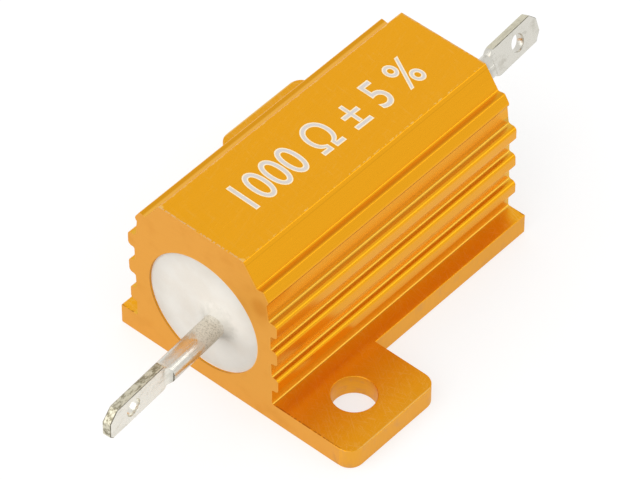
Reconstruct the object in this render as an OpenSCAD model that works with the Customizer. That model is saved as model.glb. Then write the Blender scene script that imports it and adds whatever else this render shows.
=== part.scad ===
// Wirewound power resistor in a finned aluminium housing, for bolting to a chassis.
// The housing is one extrusion, cut to length and milled so that a fixing lug is left at two
// opposite corners. A ceramic core, wound with resistance wire and capped at both ends, sits
// in its bore in white cement, and the two leads end in flattened, pierced solder tags.
// Millimetres. +Y runs along the housing, +Z is up, and the origin lies in the base plane,
// midway between the two fixing holes.

/* [Housing] */
// Length of the housing along its extrusion
body_len = 27; // [24:0.5:36]
// Height from the base to the flat top
body_height = 15.2; // [14.8:0.1:18]
// Width of the flat top
top_width = 8.2; // [7:0.1:9]
// Width of the crown where its sloping sides end
crown_width = 10.5; // [9.8:0.1:11.2]
// Height of the crown's sloping sides
crown_drop = 1.88; // [1.2:0.01:2.2]
// Width between the foot of the grooves
waist_width = 13.4; // [13:0.1:14]
// Diameter of the bore through the housing
bore_d = 10.6; // [10:0.1:11]
// Height of the bore's axis above the base
bore_z = 6.84; // [6.7:0.01:7.6]
// Rounding of the long edges of the top
edge_round = 0.18; // [0.1:0.02:0.4]

/* [Fins] */
// Number of fins below the shoulder on each side
fin_count = 3; // [1:1:3]
// Distance between the fins
fin_pitch = 2.87; // [2.4:0.01:2.95]
// Height of the lowest fin's middle above the base
fin_low = 4.1; // [3.8:0.05:4.4]
// Thickness of a fin
fin_thick = 1.4; // [0.9:0.05:1.6]
// How far a fin stands out of the waist
fin_depth = 0.62; // [0.5:0.02:0.8]
// Rounding of the fin tips
fin_round = 0.28; // [0.1:0.02:0.4]
// Fillet at the foot of each groove
root_round = 0.18; // [0.06:0.02:0.24]

/* [Shoulder] */
// Width over the shoulder fins
shoulder_width = 13.1; // [12.8:0.1:13.6]
// Width over the ledge on top of the shoulder fins
ledge_width = 12; // [11.5:0.1:12.3]
// Width of the neck below the shoulder fins
neck_width = 12.64; // [12.3:0.02:12.8]
// Width of the neck at its foot, above the top fin
neck_foot_width = 13.1; // [12.8:0.1:13.4]
// Height of the slope from the ledge to the shoulder's side
shoulder_slope = 0.75; // [0.3:0.05:0.9]
// Height of the shoulder's upright side
shoulder_side = 0.2; // [0.2:0.05:0.6]
// Height of the undercut from the shoulder's side to the neck
shoulder_under = 0.42; // [0.2:0.02:0.5]
// Depth of the shallow groove along the crown's foot
groove_depth = 0.08; // [0:0.01:0.15]
// Distance from the crown's foot to the groove's deepest line
groove_inset = 0.2; // [0.1:0.05:0.4]

/* [Flange and lugs] */
// Thickness of the flange along the base
flange_thick = 1.85; // [1.5:0.05:2.4]
// Width of the flange where there is no lug
flange_width = 16.7; // [15.4:0.02:18]
// Width over the two lugs
lug_span = 28.86; // [27.6:0.02:31]
// Length of a lug along the housing
lug_len = 9.72; // [8.6:0.02:11.6]
// Rounding of a lug's outer corners
lug_round = 1.2; // [0.5:0.1:2]
// Diameter of the fixing holes
hole_d = 3.5; // [3.2:0.1:3.8]
// Distance between the fixing holes across the housing
hole_pitch_x = 21.16; // [20.6:0.02:22]
// Distance between the fixing holes along the housing
hole_pitch_y = 17.56; // [16.8:0.02:18.4]

/* [Cement] */
// Depth of the cement's face inside the end of the bore
seal_recess = 0.14; // [0.05:0.01:0.6]
// Height of the cement's fillet up each lead
collar_len = 0.5; // [0.2:0.05:1]
// Width of the cement's fillet round each lead
collar_reach = 0.45; // [0.2:0.05:0.8]

/* [Wound core] */
// Diameter of the ceramic core
core_d = 5; // [4:0.1:5.4]
// Length of the ceramic core
core_len = 18; // [15:0.5:19]
// Diameter of the resistance wire
wire_d = 0.36; // [0.2:0.02:0.45]
// Turns of resistance wire
wire_turns = 9; // [5:1:12]
// Sheet thickness of the end caps
cap_wall = 0.5; // [0.4:0.05:0.6]
// Length of core that each cap covers
cap_cover = 3.2; // [2.4:0.1:4]
// Running clearance between the core and what is pushed or wound on it
core_fit = 0.02; // [0.01:0.01:0.05]

/* [How the core lies in the bore] */
// Sideways shift of the core's middle from the bore's axis
core_shift = 0.35; // [-0.5:0.05:0.5]
// Drop of the core's middle below the bore's axis
core_drop = 0.18; // [-0.5:0.01:0.5]
// Turn of the core about the vertical
core_yaw = 4.3; // [-5:0.1:5]
// Rise of the core from its rear end to its front end
core_pitch = 0.8; // [-3:0.1:3]

/* [Leads and tags] */
// Length over both solder tags
terminal_span = 53; // [50:0.2:64]
// Diameter of the round leads
lead_d = 1.87; // [1.6:0.01:2.2]
// Length of a flattened tag
tag_len = 6.8; // [5.6:0.1:8]
// Width of a tag
tag_width = 2.5; // [2.3:0.05:3]
// Thickness of a tag
tag_thick = 0.74; // [0.5:0.02:1]
// Diameter of the wire hole in a tag
tag_hole_d = 1.5; // [1:0.05:1.7]
// Distance from the hole's centre to the end of the tag
tag_hole_inset = 2.7; // [2:0.1:3.2]
// Rounding of the tag's outer corners
tag_round = 0.7; // [0.3:0.05:1]
// Length over which the press widens the lead into the tag
press_len = 0.7; // [0.6:0.1:1.6]
// Turn of the front tag about its lead
front_tag_roll = 0; // [-20:1:20]
// Turn of the rear tag about its lead
rear_tag_roll = 20; // [-25:1:25]

/* [Hidden] */

ANODISED = [0.91, 0.62, 0.15];
CEMENT = [0.90, 0.87, 0.83];
CERAMIC = [0.86, 0.84, 0.78];
WIRE = [0.55, 0.52, 0.48];
STEEL = [0.66, 0.67, 0.68];
TINNED = [0.80, 0.79, 0.76];

$fn = 64;
ARC_STEPS = 4;      // chords in a small rounded edge
PRESS_STEPS = 8;    // chords in the curves that the press leaves
PRESS_LIFT = 8;     // degrees that the press's curve runs on above the round lead
WIRE_SIDES = 6;     // sides of the wire's section
TURN_STEPS = 20;    // chords in one turn of wire
COLLAR_ROOT = 0.4;  // how far below the cement's face its collars start
PAST = 1;           // how far a cutter runs past what it cuts

ledge_z = body_height - crown_drop;
crown_slant = atan((crown_width - top_width) / (2 * crown_drop));
neck_z = ledge_z - shoulder_slope - shoulder_side - shoulder_under;
cap_d = core_d + 2 * (core_fit + cap_wall);
cap_end = core_len / 2 + core_fit + cap_wall;
winding_path = (core_d / 2 + core_fit + wire_d / 2) / cos(180 / TURN_STEPS);
winding_d = 2 * (winding_path + wire_d / 2 + core_fit);
winding_len = core_len - 2 * cap_cover;
press_start = terminal_span / 2 - tag_len;

// Points of an arc about c from angle a0 to a1, both ends included.
function arc(c, r, a0, a1, steps = ARC_STEPS) =
    [for (i = [0:steps]) let (a = a0 + (a1 - a0) * i / steps) c + r * [cos(a), sin(a)]];

// Outline of one fin from its lower root to its upper root, with its middle at height z and
// what stands above it starting at half its width from the middle line.
function fin(z, half_above) =
    let (root = waist_width / 2 + root_round, tip = waist_width / 2 + fin_depth - fin_round,
         low = z - fin_thick / 2, high = z + fin_thick / 2)
    concat(arc([root, low - root_round], root_round, 180, 90),
           arc([tip, low + fin_round], fin_round, 270, 360),
           arc([tip, high - fin_round], fin_round, 0, 90),
           arc([half_above + root_round, high + root_round], root_round, 270, 180));

// A whole outline from its right half, whose first and last points lie on the middle line.
function mirrored(half) =
    concat(half, [for (i = [len(half) - 2:-1:1]) [-half[i].x, half[i].y]]);

// Right half of the extrusion's section, from the base's middle up to the top's middle.
function half_section() =
    concat([[0, 0], [lug_span / 2, 0], [lug_span / 2, flange_thick]],
           arc([waist_width / 2 + root_round, flange_thick + root_round], root_round, 270, 180),
           [for (i = [0:fin_count - 1])
               each fin(fin_low + i * fin_pitch,
                        (i < fin_count - 1 ? waist_width : neck_foot_width) / 2)],
           [[neck_width / 2, neck_z],
            [shoulder_width / 2, neck_z + shoulder_under],
            [shoulder_width / 2, ledge_z - shoulder_slope],
            [ledge_width / 2, ledge_z],
            [crown_width / 2 + groove_inset, ledge_z - groove_depth],
            [crown_width / 2, ledge_z]],
           arc([top_width / 2 - edge_round, body_height - edge_round], edge_round,
               crown_slant, 90),
           [[0, body_height]]);

// Plan of one lug at the front right corner, with both outer corners rounded.
module lug_plan() {
    reach = lug_span / 2;
    translate([0, -body_len / 2]) {
        square([reach - lug_round, lug_len]);
        translate([0, lug_round]) square([reach, lug_len - 2 * lug_round]);
        for (y = [lug_round, lug_len - lug_round])
            translate([reach - lug_round, y]) circle(r = lug_round);
    }
}

// What the mill leaves of the blank in plan: the body, its flange and the two lugs.
module milled_plan() {
    square([flange_width, body_len], center = true);
    for (turn = [0, 180]) rotate(turn) lug_plan();
}

// Lays a shape drawn upright in XZ along the housing, centred on its length.
module along_body(length) {
    translate([0, length / 2, 0]) rotate([90, 0, 0]) linear_extrude(length) children();
}

module bore(length) {
    translate([0, length / 2, bore_z]) rotate([90, 0, 0]) cylinder(d = bore_d, h = length);
}

module housing() {
    color(ANODISED) difference() {
        intersection() {
            along_body(body_len) polygon(mirrored(half_section()));
            linear_extrude(body_height) milled_plan();
        }
        bore(body_len + 2 * PAST);
        for (side = [-1, 1])
            translate([side * hole_pitch_x / 2, -side * hole_pitch_y / 2, -PAST])
                cylinder(d = hole_d, h = flange_thick + 2 * PAST);
    }
}

// The core's own frame: its axis along Y, as it came to lie in the bore.
module in_bore() {
    translate([core_shift, 0, bore_z - core_drop]) rotate([-core_pitch, 0, core_yaw]) children();
}

// A round bar on the core's axis, from y0 to y1.
module bar(diameter, y0, y1) {
    translate([0, y0, 0]) rotate([-90, 0, 0]) cylinder(d = diameter, h = y1 - y0);
}

module core_solid() {
    bar(core_d, -core_len / 2, core_len / 2);
}

// A drawn cap over the core's end on the +Y side.
module cap_solid() {
    difference() {
        bar(cap_d, core_len / 2 - cap_cover, cap_end);
        bar(core_d + 2 * core_fit, core_len / 2 - cap_cover - PAST, core_len / 2 + core_fit);
    }
}

// Side of the lead as the press leaves it: full up to the dies, then thinned along their curve.
module press_profile() {
    drop = (lead_d - tag_thick) / 2;
    sweep = 2 * atan(drop / press_len);
    radius = press_len / sin(sweep);
    edge = arc([tag_thick / 2 + radius, press_start + press_len], radius,
               180 + sweep + PRESS_LIFT, 180, PRESS_STEPS);
    polygon(mirrored(concat([[0, cap_end], [edge[0].x, cap_end]], edge,
                            [[0, press_start + press_len]])));
}

// Outline of the flattened tag in its own plane, spreading out of the lead to its full width.
module tag_outline() {
    end = terminal_span / 2;
    root = (lead_d - tag_thick) / 2;
    flare = [for (i = [0:PRESS_STEPS]) let (t = i / PRESS_STEPS)
        [root + (tag_width / 2 - root) * sin(90 * t), press_start + press_len * t]];
    tip = arc([tag_width / 2 - tag_round, end - tag_round], tag_round, 0, 90);
    polygon(mirrored(concat([[0, press_start]], flare, tip, [[0, end]])));
}

// A lead on the +Y side: round from the cap, pressed flat and pierced at its end.
module lead_solid(roll) {
    rotate([0, -roll, 0]) difference() {
        union() {
            intersection() {
                bar(lead_d, cap_end, press_start + press_len);
                translate([0, 0, -lead_d]) linear_extrude(2 * lead_d) press_profile();
            }
            rotate([0, -90, 0]) translate([0, 0, -tag_thick / 2])
                linear_extrude(tag_thick) tag_outline();
        }
        translate([-tag_thick, terminal_span / 2 - tag_hole_inset, 0])
            rotate([0, 90, 0]) cylinder(d = tag_hole_d, h = 2 * tag_thick);
    }
}

// The low fillet of cement that climbs the lead on the +Y side.
module collar() {
    face = body_len / 2 - seal_recess;
    height = COLLAR_ROOT + collar_len;
    translate([0, face - COLLAR_ROOT, 0]) rotate([-90, 0, 0])
        cylinder(r1 = lead_d / 2 + collar_reach * height / collar_len, r2 = lead_d / 2, h = height);
}

module both_ends() {
    children();
    rotate(180) children();
}

module cement_filling() {
    color(CEMENT) difference() {
        union() {
            bore(body_len - 2 * seal_recess);
            in_bore() both_ends() collar();
        }
        in_bore() {
            core_solid();
            bar(winding_d, -winding_len / 2, winding_len / 2);
            both_ends() {
                bar(cap_d, core_len / 2 - cap_cover, cap_end);
                bar(lead_d, cap_end, body_len);
            }
        }
    }
}

module ceramic_core() {
    color(CERAMIC) in_bore() core_solid();
}

// One wire wound round the core between the caps, its section swept along a helix.
module resistance_winding() {
    run = winding_len - wire_d - 2 * core_fit;
    steps = wire_turns * TURN_STEPS;
    rings = [for (i = [0:steps]) let (a = 360 * i / TURN_STEPS, y = run * (i / steps - 0.5))
        for (j = [0:WIRE_SIDES - 1]) let (b = 360 * j / WIRE_SIDES,
            r = winding_path + wire_d / 2 * cos(b))
            [r * cos(a), y + wire_d / 2 * sin(b), r * sin(a)]];
    sides = [for (i = [0:steps - 1], j = [0:WIRE_SIDES - 1]) let (k = (j + 1) % WIRE_SIDES)
        [i * WIRE_SIDES + j, i * WIRE_SIDES + k, (i + 1) * WIRE_SIDES + k,
         (i + 1) * WIRE_SIDES + j]];
    first = [for (j = [WIRE_SIDES - 1:-1:0]) j];
    last = [for (j = [0:WIRE_SIDES - 1]) steps * WIRE_SIDES + j];
    color(WIRE) in_bore() polyhedron(rings, concat([first], sides, [last]));
}

module front_cap() {
    color(STEEL) in_bore() rotate(180) cap_solid();
}

module rear_cap() {
    color(STEEL) in_bore() cap_solid();
}

module front_terminal() {
    color(TINNED) in_bore() rotate(180) lead_solid(front_tag_roll);
}

module rear_terminal() {
    color(TINNED) in_bore() lead_solid(rear_tag_roll);
}

housing();
cement_filling();
ceramic_core();
resistance_winding();
front_cap();
rear_cap();
front_terminal();
rear_terminal();
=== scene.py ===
"""Aluminium housed wirewound power resistor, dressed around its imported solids.

Lengths are written in millimetres. A piece is modelled in millimetres and is turned into metres as
it is published. The housing stands on the floor with its length along Y, and its front end faces -Y.
"""

import logging
import math
from dataclasses import dataclass, field
from enum import Enum
from typing import Callable, Iterable, Sequence, Union

import bmesh
import bpy
from mathutils import Matrix, Vector, noise


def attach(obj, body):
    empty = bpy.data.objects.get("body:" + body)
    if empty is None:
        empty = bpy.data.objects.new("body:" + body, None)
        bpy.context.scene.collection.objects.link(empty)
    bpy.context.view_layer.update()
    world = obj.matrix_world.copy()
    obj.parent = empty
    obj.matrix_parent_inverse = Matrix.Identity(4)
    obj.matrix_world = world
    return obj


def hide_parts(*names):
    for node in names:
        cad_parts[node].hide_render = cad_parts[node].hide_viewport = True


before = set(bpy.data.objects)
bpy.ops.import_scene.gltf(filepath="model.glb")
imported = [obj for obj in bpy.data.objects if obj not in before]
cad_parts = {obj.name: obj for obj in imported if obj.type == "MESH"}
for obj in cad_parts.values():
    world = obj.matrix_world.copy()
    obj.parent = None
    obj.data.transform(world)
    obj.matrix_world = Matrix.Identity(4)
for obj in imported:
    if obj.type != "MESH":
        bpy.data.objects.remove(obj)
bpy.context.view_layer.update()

LOG = logging.getLogger("resistor")
MM = 0.001
BODY = "root"
FINE = 0.0005
WHITE = (1.0, 1.0, 1.0, 1.0)

# sizes that several pieces or finishes share
LENGTH = 27.0
HEIGHT = 15.2
LEAN = 0.1
LEDGE_Z = 13.32
FLANGE_THICK = 1.85
BORE_RADIUS = 5.3
BORE_Z = 6.84
LEAD_RADIUS = 0.935
CAP_END = 9.52

Colour = tuple[float, float, float]
Number = Union[float, "Signal"]


class Slot(Enum):
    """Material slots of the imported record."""

    ALUMINIUM = "gold_anodised_aluminium"
    CEMENT = "white_cement"
    LEAD = "tinned_lead"


class Surface(Enum):
    """How a face of the housing was made, in the order of its mesh's materials."""

    DRAWN = 0
    SAWN = 1
    MILLED = 2
    BORED = 3


class LeadSurface(Enum):
    """How a face of a terminal was made, in the order of its mesh's materials."""

    DRAWN = 0
    SHEARED = 1
    # dark edges: the tag's ridges, and the press step as a painted shadow
    EDGE = 2


class End(Enum):
    """The two ends of the wound core, by the sign of their side along Y."""

    FRONT = -1
    REAR = 1


def linear(red: int, green: int, blue: int) -> Colour:
    """Turns a display colour of 0 to 255 into the linear colour that a shader takes.

    Args:
        red: Red share, 0 to 255.
        green: Green share, 0 to 255.
        blue: Blue share, 0 to 255.

    Returns:
        The linear colour.
    """
    shares = (red / 255.0, green / 255.0, blue / 255.0)
    return tuple(s / 12.92 if s <= 0.04045 else ((s + 0.055) / 1.055) ** 2.4 for s in shares)


# ---------------------------------------------------------------- shader maths


@dataclass(frozen=True)
class Signal:
    """A value travelling through a node tree, on which plain arithmetic works."""

    graph: "ShaderGraph"
    socket: bpy.types.NodeSocket | None

    def _math(self, operation: str, *values: Number) -> "Signal":
        """Adds one Math node on the given values."""
        return self.graph.node("ShaderNodeMath", {"operation": operation}, dict(enumerate(values)))

    def __add__(self, other: Number) -> "Signal":
        """Sum."""
        return self._math("ADD", self, other)

    __radd__ = __add__

    def __mul__(self, other: Number) -> "Signal":
        """Product."""
        return self._math("MULTIPLY", self, other)

    __rmul__ = __mul__

    def __sub__(self, other: Number) -> "Signal":
        """Difference."""
        return self._math("SUBTRACT", self, other)

    def __rsub__(self, other: Number) -> "Signal":
        """Difference with a plain number in front."""
        return self._math("SUBTRACT", other, self)

    def __truediv__(self, other: Number) -> "Signal":
        """Quotient."""
        return self._math("DIVIDE", self, other)

    def __pow__(self, other: Number) -> "Signal":
        """Power."""
        return self._math("POWER", self, other)

    def __abs__(self) -> "Signal":
        """Size without its sign."""
        return self._math("ABSOLUTE", self)

    def most(self, other: Number) -> "Signal":
        """The larger of the two."""
        return self._math("MAXIMUM", self, other)

    def ramp(self, low: float, high: float, start: float = 0.0, end: float = 1.0) -> "Signal":
        """Eases from one value to another while this one goes from low to high.

        Args:
            low: Where the change begins.
            high: Where the change ends; it may lie below low.
            start: Result up to low.
            end: Result from high on.

        Returns:
            The eased value.
        """
        if low > high:
            low, high, start, end = high, low, end, start
        return self.graph.node(
            "ShaderNodeMapRange",
            {"interpolation_type": "SMOOTHSTEP", "clamp": True},
            {"Value": self, "From Min": low, "From Max": high, "To Min": start, "To Max": end},
        )

    def above(self, edge: float, blur: float = 0.04) -> "Signal":
        """1 above an edge and 0 below it, eased over the blur on both sides of the edge."""
        return self.ramp(edge - blur, edge + blur)

    def below(self, edge: float, blur: float = 0.04) -> "Signal":
        """1 below an edge and 0 above it, eased over the blur on both sides of the edge."""
        return self.ramp(edge + blur, edge - blur)

    def near(self, middle: float, reach: float, core: float) -> "Signal":
        """1 within the core of a place, falling to 0 at its reach."""
        return abs(self - middle).ramp(reach, core)

    def hypot(self, other: "Signal") -> "Signal":
        """Long side of the right-angled triangle whose short sides are this and the other."""
        return (self ** 2.0 + other ** 2.0) ** 0.5


class ShaderGraph:
    """One material's node tree, read on the piece's own coordinates in millimetres."""

    def __init__(self, name: str) -> None:
        """Starts an empty material of that name."""
        self.material = bpy.data.materials.new(name)
        self.material.use_nodes = True
        self.tree = self.material.node_tree
        self.tree.nodes.clear()
        self._place: Signal | None = None

    def node(
        self,
        kind: str,
        settings: dict[str, object] | None = None,
        inputs: dict[Union[int, str], object] | None = None,
        output: Union[int, str] = 0,
    ) -> Signal:
        """Adds a node of any type.

        Args:
            kind: The node's type name.
            settings: Its own settings, such as a Math node's operation.
            inputs: Values or signals by socket name or number.
            output: The socket that the result is read from.

        Returns:
            The chosen output.
        """
        made = self.tree.nodes.new(kind)
        for key, value in (settings or {}).items():
            setattr(made, key, value)
        for key, value in (inputs or {}).items():
            if isinstance(value, Signal):
                self.tree.links.new(value.socket, made.inputs[key])
            else:
                made.inputs[key].default_value = value
        return Signal(self, made.outputs[output] if len(made.outputs) else None)

    @property
    def place(self) -> Signal:
        """Position on the piece in millimetres."""
        if self._place is None:
            metres = self.node("ShaderNodeTexCoord", output="Object")
            self._place = self.stretched(metres, (1 / MM, 1 / MM, 1 / MM))
        return self._place

    def axis(self, letter: str) -> Signal:
        """Position along X, Y or Z in millimetres."""
        return self.node("ShaderNodeSeparateXYZ", None, {0: self.place}, letter)

    def facing(self, letter: str) -> Signal:
        """How far the surface faces along X, Y or Z, from -1 to 1."""
        normal = self.node("ShaderNodeTexCoord", output="Normal")
        return self.node("ShaderNodeSeparateXYZ", None, {0: normal}, letter)

    def stretched(self, vector: Signal, by: Colour) -> Signal:
        """Multiplies a vector's parts by the given three numbers."""
        return self.node("ShaderNodeVectorMath", {"operation": "MULTIPLY"}, {0: vector, 1: by})

    def turned(self, vector: Signal, degrees: float, axis: str = "Z") -> Signal:
        """Turns a vector about an axis.

        Args:
            vector: What is turned.
            degrees: How far.
            axis: X, Y or Z.

        Returns:
            The turned vector.
        """
        values = {"Vector": vector, "Angle": math.radians(degrees)}
        return self.node("ShaderNodeVectorRotate", {"rotation_type": axis + "_AXIS"}, values)

    def cloud(
        self, scale: Colour, detail: float = 2.0, rough: float = 0.5, at: Signal | None = None
    ) -> Signal:
        """Soft noise about 0.5.

        Args:
            scale: Bumps per millimetre along X, Y and Z.
            detail: Finer layers added.
            rough: Weight of each finer layer.
            at: Vector to read at, the place by default.

        Returns:
            The noise.
        """
        vector = self.stretched(at or self.place, scale)
        values = {"Vector": vector, "Scale": 1.0, "Detail": detail, "Roughness": rough}
        return self.node("ShaderNodeTexNoise", {"noise_dimensions": "3D"}, values, 0)

    def scratches(self, scale: Colour, degrees: float, fineness: float) -> Signal:
        """Thin broken lines in one direction.

        Args:
            scale: Pattern per millimetre before turning; the smallest share is the lines' direction.
            degrees: Turn of the lines about Z.
            fineness: Share of the pattern that a line takes.

        Returns:
            1 on a line and 0 off it.
        """
        pattern = self.cloud(scale, 1.0, 0.4, self.turned(self.place, degrees))
        return pattern.near(0.5, fineness, 0.0)

    def mix(self, share: Number, first: object, second: object) -> Signal:
        """Blends two colours.

        Args:
            share: 0 for the first, 1 for the second.
            first: Colour or signal.
            second: Colour or signal.

        Returns:
            The blended colour.
        """
        settings = {"data_type": "RGBA", "blend_type": "MIX", "clamp_factor": True}
        values = {0: share, 6: self._rgba(first), 7: self._rgba(second)}
        return self.node("ShaderNodeMix", settings, values, 2)

    def shaded(self, colour: object, by: Signal) -> Signal:
        """Multiplies a colour by one value."""
        return self.node(
            "ShaderNodeVectorMath", {"operation": "SCALE"}, {0: self._vector(colour), "Scale": by}
        )

    @staticmethod
    def _rgba(colour: object) -> object:
        """A plain colour with its fourth part, or the signal as it is."""
        return colour if isinstance(colour, Signal) else (*colour, 1.0)

    @staticmethod
    def _vector(colour: object) -> object:
        """A plain colour as three numbers, or the signal as it is."""
        return colour if isinstance(colour, Signal) else tuple(colour)

    def relief(self, height: Signal, depth: float, strength: float) -> Signal:
        """Turns a height pattern into bent normals.

        Args:
            height: Pattern from 0 to 1.
            depth: Real depth of the pattern in millimetres.
            strength: Share of the effect that is kept.

        Returns:
            The normals.
        """
        values = {"Height": height, "Distance": depth * MM, "Strength": strength}
        return self.node("ShaderNodeBump", None, values)

    def finish(self, **surface: object) -> bpy.types.Material:
        """Closes the tree with one Principled shader.

        Args:
            surface: Principled inputs, with their spaces written as underscores.

        Returns:
            The material.
        """
        values = {}
        for key, value in surface.items():
            is_plain_colour = key.endswith("Color") and not isinstance(value, Signal)
            values[key.replace("_", " ")] = (*value, 1.0) if is_plain_colour else value
        shader = self.node("ShaderNodeBsdfPrincipled", None, values)
        self.node("ShaderNodeOutputMaterial", None, {"Surface": shader})
        return self.material


# ---------------------------------------------------------------- finishes


@dataclass(frozen=True)
class DrawnAnodising:
    """Gold anodising over the extrusion's die lines, with handling marks on its open faces, and with painted
    light and shade on its grooves, ledges, flanks, shoulders, neck and flange.
    """

    dye: Colour = linear(237, 165, 30)
    # pale colour of rub marks and nicks; the inner half of the left ledge takes some of it as a painted
    # highlight
    rubbed: Colour = linear(247, 206, 122)
    # painted shade on the outer half of both ledges
    ledge_painted_shade: Colour = linear(221, 153, 30)
    bare_edge: Colour = linear(224, 188, 146)
    torn_edge: Colour = linear(164, 92, 36)
    # painted light: a lighter, yellower colour between the fins, for light bounced about in the grooves
    groove_painted_light: Colour = linear(232, 177, 62)
    roughness: float = 0.24
    line_depth: float = 0.004
    line_strength: float = 0.05
    lean: float = LEAN
    top_z: float = HEIGHT
    crown_edge: float = 4.08
    # height of a painted shade line along the flanks, just under the crown edge
    flank_line_z: float = 14.86
    ledge_z: float = LEDGE_Z
    ledge_inner: float = 5.34
    ledge_middle: float = 5.7
    ledge_outer: float = 6.02
    # height of a painted shade line at the shoulder's lower edge
    shoulder_z: float = 12.36
    shoulder_inner: float = 6.3
    # neck_high and neck_low bound the painted shade on the neck's foot
    neck_high: float = 11.15
    neck_low: float = 10.62
    groove_top: float = 11.4
    groove_out: float = 7.0
    flange_z: float = FLANGE_THICK
    # painted light and painted shade on the flange's upper face: lighter near the body, darker out on the
    # lugs
    near_body_painted_light: float = 1.04
    lug_painted_shade: float = 0.95
    flange_turn: tuple[float, float] = (8.0, 10.0)
    lug_edge: float = 14.3
    end_y: float = LENGTH / 2
    corner: tuple[float, float] = (3.98, 13.4)

    def build(self) -> bpy.types.Material:
        """Makes the material."""
        g = ShaderGraph("drawn_gold_anodising")
        x, y, z = g.axis("X"), g.axis("Y"), g.axis("Z")
        across = abs(x + self.lean)
        lines = g.cloud((11.0, 0.10, 11.0), 3.0, 0.65)
        grain = g.cloud((14.0, 4.0, 14.0), 2.0)
        ragged = g.cloud((3.0, 2.6, 3.0), 3.0, 0.7)
        on_top = z.above(self.top_z - 0.03, 0.02)
        on_flange = z.below(self.flange_z + 0.3, 0.2) * g.facing("Z").ramp(0.8, 0.95)

        on_ledge = across.below(self.ledge_outer) * z.near(self.ledge_z, 0.3, 0.2)
        # painted highlight: the inner half of the left ledge only, a little lighter
        inner = on_ledge * across.above(self.ledge_inner) * x.below(0.0, FINE)
        # painted shade: the outer half of both ledges
        outer = on_ledge * across.above(self.ledge_middle, 0.08)
        # where the painted light between the fins goes
        grooves = z.below(self.groove_top - 0.25, 0.25) * across.below(self.groove_out, 0.1)
        rubbed = self._handled(g, on_top, on_flange).most(self._nicked(across, y, on_top, ragged))
        worn_rim = on_flange * abs(x).above(self.lug_edge) * ragged.ramp(0.3, 0.45, 0.2, 0.7)
        colour = g.mix(grooves, self.dye, self.groove_painted_light)
        # rub marks, nicks and worn lug rims, plus a painted highlight on the left ledge
        colour = g.mix(rubbed.most(inner * 0.3).most(worn_rim), colour, self.rubbed)
        # painted shade on the outer half of both ledges
        colour = g.mix(outer, colour, self.ledge_painted_shade)
        sawn_edge = abs(y).near(self.end_y, 0.17, 0.05) * g.cloud((4.6, 3.0, 4.6), 2.0, 0.6).ramp(0.42, 0.53)
        colour = g.mix(sawn_edge * on_top * 0.7, colour, self.bare_edge)
        colour = g.mix(sawn_edge * on_flange * 0.7, colour, self.torn_edge)

        # painted shade: a thin darker line along both flanks just under the crown edge
        flank_painted_shade_line = z.near(self.flank_line_z, 0.06, 0.02) * across.above(self.crown_edge + 0.01, 0.01)
        # painted shade: a dark line along the shoulder's lower edge
        crease = z.near(self.shoulder_z, 0.1, 0.03) * across.above(self.shoulder_inner - 0.01, 0.01)
        # painted shade: the foot of the neck, just above the top fin
        neck_foot_painted_shade = z.below(self.neck_high, 0.12) * z.above(self.neck_low)
        bands = g.cloud((1.1, 0.03, 1.1), 1.0)
        tone = 0.93 + lines * 0.06 + bands * 0.05 + grain * 0.04
        # the flank line, the shoulder line and the neck's foot darken the tone here as painted shade
        tone = tone - flank_painted_shade_line * 0.08 - crease * 0.2 - neck_foot_painted_shade * 0.2
        # painted light and shade: the flange's upper face lighter near the body and darker out on the lugs
        flange_painted_shading = across.ramp(*self.flange_turn, self.near_body_painted_light, self.lug_painted_shade)
        return g.finish(
            Base_Color=g.shaded(colour, tone * (on_flange * (flange_painted_shading - 1.0) + 1.0)),
            Metallic=0.9,
            Specular_IOR_Level=0.0,
            Roughness=self.roughness - 0.04 + lines * 0.08 + grain * 0.03 + on_flange * 0.07,
            Normal=g.relief(lines + grain * 0.15, self.line_depth, self.line_strength),
        )

    @staticmethod
    def _handled(g: ShaderGraph, on_top: Signal, on_flange: Signal) -> Signal:
        """Fine rub marks that cross on the lugs and run one way on the crown.

        Args:
            g: The material's graph.
            on_top: 1 on the crown's flat top.
            on_flange: 1 on the flange's upper face.

        Returns:
            How far the surface is rubbed.
        """
        crossed = g.scratches((0.25, 5.0, 0.3), 34.0, 0.02).most(g.scratches((0.3, 4.2, 0.3), -28.0, 0.018))
        rubs = g.scratches((0.35, 6.0, 0.3), 74.0, 0.015).most(g.scratches((0.2, 3.0, 0.3), 8.0, 0.012))
        return (on_flange * crossed.most(rubs) * 0.28).most(on_top * rubs * 0.10)

    def _nicked(self, across: Signal, y: Signal, on_top: Signal, ragged: Signal) -> Signal:
        """Nicks along the crown's long edges and at its corners.

        Args:
            across: Distance from the crown's middle line.
            y: Position along the housing.
            on_top: 1 on the crown's flat top.
            ragged: Noise that breaks the nicks up.

        Returns:
            How far the edge is nicked.
        """
        corner_x, corner_y = self.corner
        from_corner = (across - corner_x).hypot(y + corner_y) + (ragged - 0.5) * 0.3
        along_edge = on_top * across.near(self.crown_edge, 0.09, 0.04) * ragged.ramp(0.52, 0.62)
        return (along_edge * 0.6).most(on_top * from_corner.below(0.19, 0.05) * 0.5)


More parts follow.
